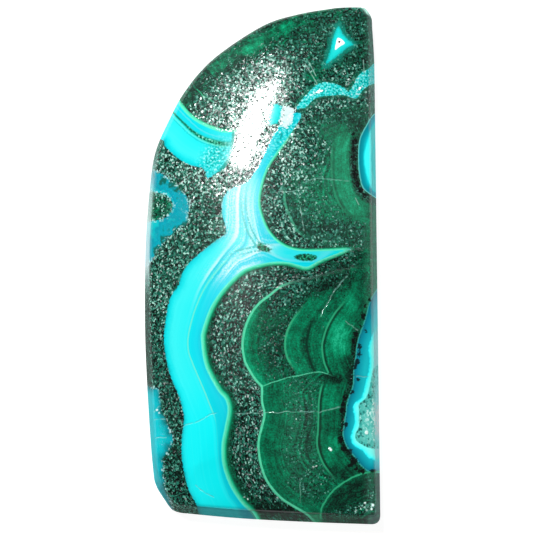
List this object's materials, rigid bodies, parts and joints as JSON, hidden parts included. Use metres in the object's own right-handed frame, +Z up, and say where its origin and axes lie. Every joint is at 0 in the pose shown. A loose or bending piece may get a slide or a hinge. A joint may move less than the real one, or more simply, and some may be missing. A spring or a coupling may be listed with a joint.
{
  "type": "azurite malachite cabochon",
  "caption": "Freeform polished cabochon of banded green malachite with turquoise-blue copper bands, a low dome on a flat back, for setting in jewellery or for display.",
  "frame": {"origin": "under the middle of the stone, on the plane of its flat back", "axes": "+Z up out of the domed face, +Y along the length towards the narrow rounded end, +X towards the straight side"},
  "size_m": [0.0164, 0.0364, 0.005],
  "materials": {
    "stone": "glassy polish over banded green, near-black and turquoise rock, with fine sparkle in the coarse green bands"
  },
  "bodies": {
    "root": {"cabochon": "stone"}
  },
  "joints": []
}
